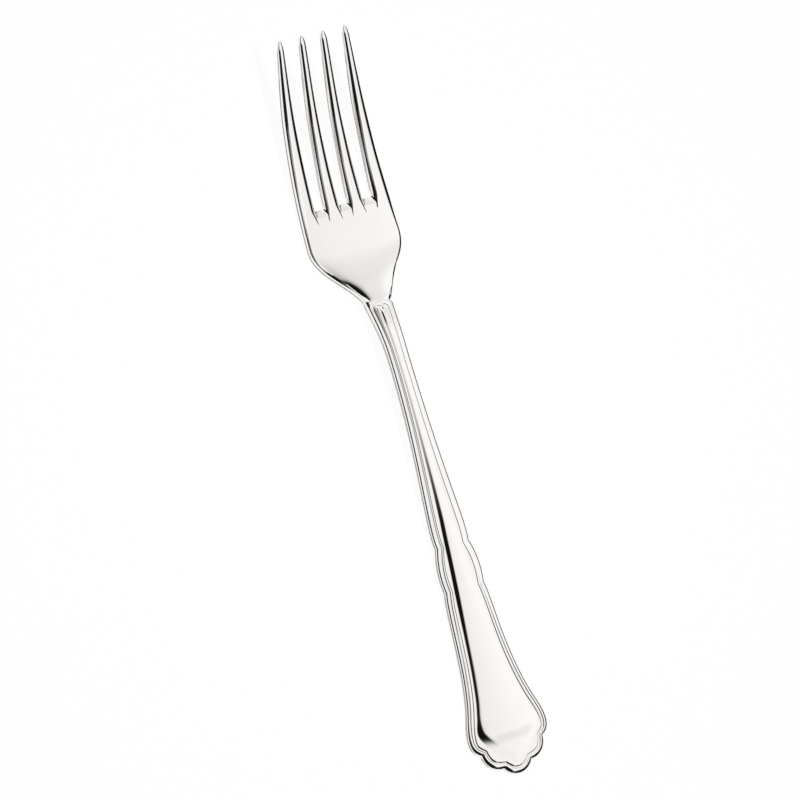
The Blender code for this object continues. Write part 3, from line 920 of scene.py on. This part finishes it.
def head_outline():
    """Return (half-width, lean, y) from the slot bottoms to just above the neck."""
    ys = [ROOT_Y] + steps_between(ROOT_Y, ROOT_Y - RUN_OUT_LENGTH, RUN_OUT_STEPS)
    ys += steps_between(ROOT_Y - RUN_OUT_LENGTH, WIDEST_Y, CHEEK_STEPS)
    points = [Vector((tine_edge(y), y)) for y in ys]
    widest = Vector((HEAD_WIDTH / 2, WIDEST_Y))
    neck = Vector((NECK_HALF_WIDTH, NECK_Y))
    points += curve_points(
        widest, widest - Vector((0, SHOULDER_LENGTH * SHOULDER_TOP_PULL)),
        neck + Vector((SHOULDER_NECK_SPREAD, SHOULDER_LENGTH * SHOULDER_NECK_PULL)), neck,
        SHOULDER_STEPS)
    outline = []
    for before, here, after in zip(points[:1] + points, points, points[1:]):
        run = after - before
        outline.append((here.x, run.x / run.y, here.y))
    return outline


def blank_rows():
    """Return every row of points, from the tine tips to the handle's end."""
    tip_ys = [TIP_Y - TIP_ROUND * (step / TIP_STEPS) ** 2 for step in range(TIP_STEPS + 1)]
    tine_ys = tip_ys + steps_between(TIP_Y - TIP_ROUND, ROOT_Y, TINE_STEPS)[:-1]
    rows = [tine_row(y) for y in tine_ys]
    neck = border_insets(NECK_HALF_WIDTH, NECK_Y)
    rows += [head_row(half_width, lean, y, neck) for half_width, lean, y in head_outline()]
    return rows + handle_rows()


def is_slot(strip, row):
    """Tell whether a facet of the blank is punched out."""
    side_slot = TINE_STRIPS <= strip < TINE_STRIPS + SLOT_STRIPS
    middle_slot = strip >= STRIPS - HALF_SLOT_STRIPS
    return (side_slot or middle_slot) and row < TIP_STEPS + TINE_STEPS


def fork_mesh():
    """Return the whole fork as one closed mesh."""
    rows = blank_rows()
    last_row = len(rows) - 1
    bm = bmesh.new()
    half_unit = 0.5
    bmesh.ops.create_grid(bm, x_segments=STRIPS, y_segments=last_row, size=half_unit)

    def strip_and_row(point):
        return round((point.x + half_unit) * STRIPS, 2), round((point.y + half_unit) * last_row, 2)

    slots = []
    for face in bm.faces:
        strip, row = strip_and_row(face.calc_center_median())
        if is_slot(int(strip), row):
            slots.append(face)
    bmesh.ops.delete(bm, geom=slots, context="FACES")

    raised = bmesh.ops.extrude_face_region(bm, geom=list(bm.faces))["geom"]
    fronts = {item for item in raised if isinstance(item, bmesh.types.BMVert)}
    for vert in bm.verts:
        strip, row = strip_and_row(vert.co)
        front, back = rows[round(row)][round(strip)]
        vert.co = on_profile(*(front if vert in fronts else back))

    on_plane = [f for f in bm.faces if all(abs(v.co.x) < TINY for v in f.verts)]
    bmesh.ops.delete(bm, geom=on_plane, context="FACES")
    half_fork = list(bm.verts) + list(bm.edges) + list(bm.faces)
    bmesh.ops.mirror(bm, geom=half_fork, axis="X", merge_dist=TINY)
    bmesh.ops.recalc_face_normals(bm, faces=list(bm.faces))
    mesh = bpy.data.meshes.new("polished_fork")
    bm.to_mesh(mesh)
    bm.free()
    mesh.shade_smooth()
    mesh.set_sharp_from_angle(angle=SHARP_ANGLE)
    return mesh


class Wire:
    """An output socket of a node tree, so that sums written in Python add Math nodes."""

    def __init__(self, tree, socket=None):
        self.tree = tree
        self.socket = socket

    def node(self, kind, settings=None, sockets=None, output=0):
        """Add a node with its settings, and with values or wires on its sockets."""
        made = self.tree.nodes.new(kind)
        for name, value in (settings or {}).items():
            if name == "stops":
                ramp = made.color_ramp.elements
                while len(ramp) < len(value):
                    ramp.new(1)
                for stop, (place, level) in zip(ramp, value):
                    stop.position = place
                    stop.color = (level, level, level, 1)
            else:
                setattr(made, name, value)
        for name, value in (sockets or {}).items():
            if isinstance(value, Wire):
                self.tree.links.new(value.socket, made.inputs[name])
            else:
                made.inputs[name].default_value = value
        return Wire(self.tree, None if output is None else made.outputs[output])

    def maths(self, operation, first, second):
        return self.node("ShaderNodeMath", {"operation": operation}, {0: first, 1: second})

    def __add__(self, other):
        return self.maths("ADD", self, other)

    def __sub__(self, other):
        return self.maths("SUBTRACT", self, other)

    def __rsub__(self, other):
        return self.maths("SUBTRACT", other, self)

    def __mul__(self, other):
        return self.maths("MULTIPLY", self, other)


def empty_tree(owner):
    """Give a material or a world a bare node tree."""
    owner.use_nodes = True
    owner.node_tree.nodes.clear()
    return Wire(owner.node_tree)


def polished_steel():
    material = bpy.data.materials.new("polished_steel")
    wires = empty_tree(material)
    place = wires.node("ShaderNodeTexCoord", output="Object")
    along = wires.node("ShaderNodeMapping", {}, {"Vector": place, "Scale": MARK_SCALE})
    marks = wires.node("ShaderNodeTexNoise", {}, {
        "Vector": along, "Scale": 1, "Detail": MARK_DETAIL})
    clouds = wires.node("ShaderNodeTexNoise", {}, {
        "Vector": place, "Scale": CLOUD_SCALE, "Detail": CLOUD_DETAIL})
    colour = wires.node("ShaderNodeMix", {"data_type": "RGBA"}, {
        "Factor": clouds, "A": STEEL_TINT, "B": CLOUD_TINT}, "Result")
    bump = wires.node("ShaderNodeBump", {}, {
        "Height": marks, "Strength": MARK_STRENGTH, "Distance": MARK_DEPTH})
    shader = wires.node("ShaderNodeBsdfPrincipled", {}, {
        "Base Color": colour, "Metallic": 1, "Normal": bump,
        "Roughness": marks * MARK_ROUGHNESS + LEAST_ROUGHNESS})
    wires.node("ShaderNodeOutputMaterial", {}, {"Surface": shader}, None)
    return material


def add_fork():
    mesh = fork_mesh()
    mesh.materials.append(polished_steel())
    fork = bpy.data.objects.new("polished_fork", mesh)
    bpy.context.scene.collection.objects.link(fork)
    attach(fork, "root")
    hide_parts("fork")


def add_camera():
    towards = Vector((
        -math.sin(CAMERA_LEAN),
        -math.cos(CAMERA_LEAN) * math.sin(CAMERA_TILT),
        math.cos(CAMERA_LEAN) * math.cos(CAMERA_TILT)))
    along = Vector((0, 1, 0))
    up = (along - towards * along.dot(towards)).normalized()
    turn = Matrix.Rotation(CAMERA_ROLL, 3, towards)
    up = turn @ up
    right = up.cross(towards)
    camera = bpy.data.cameras.new("camera")
    camera.sensor_width = SENSOR_WIDTH
    camera.lens = LENS
    camera.clip_start = CLIP_START
    holder = bpy.data.objects.new("camera", camera)
    place = Matrix((right, up, towards)).transposed().to_4x4()
    place.translation = CAMERA_TARGET + towards * CAMERA_DISTANCE
    holder.matrix_world = place
    bpy.context.scene.collection.objects.link(holder)
    bpy.context.scene.camera = holder


def add_floor():
    bm = bmesh.new()
    bmesh.ops.create_grid(bm, x_segments=1, y_segments=1, size=FLOOR_HALF_WIDTH)
    mesh = bpy.data.meshes.new("floor")
    bm.to_mesh(mesh)
    bm.free()
    material = bpy.data.materials.new("white_floor")
    wires = empty_tree(material)
    camera, mirrored, through = (wires.node("ShaderNodeLightPath", output=name) for name in (
        "Is Camera Ray", "Is Glossy Ray", "Is Transmission Ray"))
    paper = wires.node("ShaderNodeBsdfDiffuse", {}, {"Color": WHITE})
    white = wires.node("ShaderNodeEmission", {}, {"Color": WHITE, "Strength": 1})
    share = (camera + through) * SEEN_FLOOR_GLOW + mirrored * MIRRORED_FLOOR_GLOW
    mixed = wires.node("ShaderNodeMixShader", {}, {"Fac": share, 1: paper, 2: white})
    wires.node("ShaderNodeOutputMaterial", {}, {"Surface": mixed}, None)
    mesh.materials.append(material)
    floor = bpy.data.objects.new("floor", mesh)
    floor.location.z = -FLOOR_GAP
    bpy.context.scene.collection.objects.link(floor)


def light_studio():
    """Light the floor from above, and surround the steel with the bright and dark it mirrors."""
    lamp = bpy.data.lights.new("overhead_lamp", "AREA")
    lamp.size = LAMP_SIZE
    lamp.energy = LAMP_ENERGY
    overhead = bpy.data.objects.new("overhead_lamp", lamp)
    overhead.location.z = LAMP_HEIGHT
    overhead.visible_glossy = False
    bpy.context.scene.collection.objects.link(overhead)

    world = bpy.data.worlds.new("studio")
    wires = empty_tree(world)
    direction = wires.node("ShaderNodeTexCoord", output="Generated")
    x, y, z = (
        wires.node("ShaderNodeSeparateXYZ", {}, {"Vector": direction}, axis) for axis in "XYZ")
    angle = wires.maths("ARCTAN2", x, z) * math.degrees(1)

    def step(value, stretch):
        first, last = stretch
        return wires.node("ShaderNodeMapRange", {"interpolation_type": "SMOOTHSTEP"}, {
            "Value": value, "From Min": first, "From Max": last})

    def brightness(degrees, levels):
        stops = [(0.5 + place / FULL_TURN, level / RAMP_SCALE) for place, level in levels]
        turn = degrees * (1 / FULL_TURN) + 0.5
        return wires.node("ShaderNodeValToRGB", {"stops": stops}, {"Fac": turn}) * RAMP_SCALE

    turning = wires.maths("MAXIMUM", y * -LEFT_TURN_RATE - LEFT_TURN_LAG, 0)
    turned = wires.maths("MINIMUM", turning, LEFT_TURN_LIMIT)
    right = brightness(angle, RIGHT_SIDE)
    left = brightness(angle - turned, LEFT_SIDE)
    ahead = step(y, AHEAD_RISE) * step(y, AHEAD_FALL)
    behind = step(y, BEHIND_RISE) * step(z, BEHIND_TOP)
    studio = right * left * (1 - ahead * AHEAD_DIMMING) * (1 - behind * BEHIND_DIMMING)
    mirrored = wires.node("ShaderNodeLightPath", output="Is Glossy Ray")
    strength = (1 - mirrored) * FILL_LIGHT + mirrored * studio
    background = wires.node("ShaderNodeBackground", {}, {"Color": WHITE, "Strength": strength})
    wires.node("ShaderNodeOutputWorld", {}, {"Surface": background}, None)
    bpy.context.scene.world = world
    bpy.context.scene.view_settings.view_transform = "Standard"


add_fork()
add_camera()
add_floor()
light_studio()
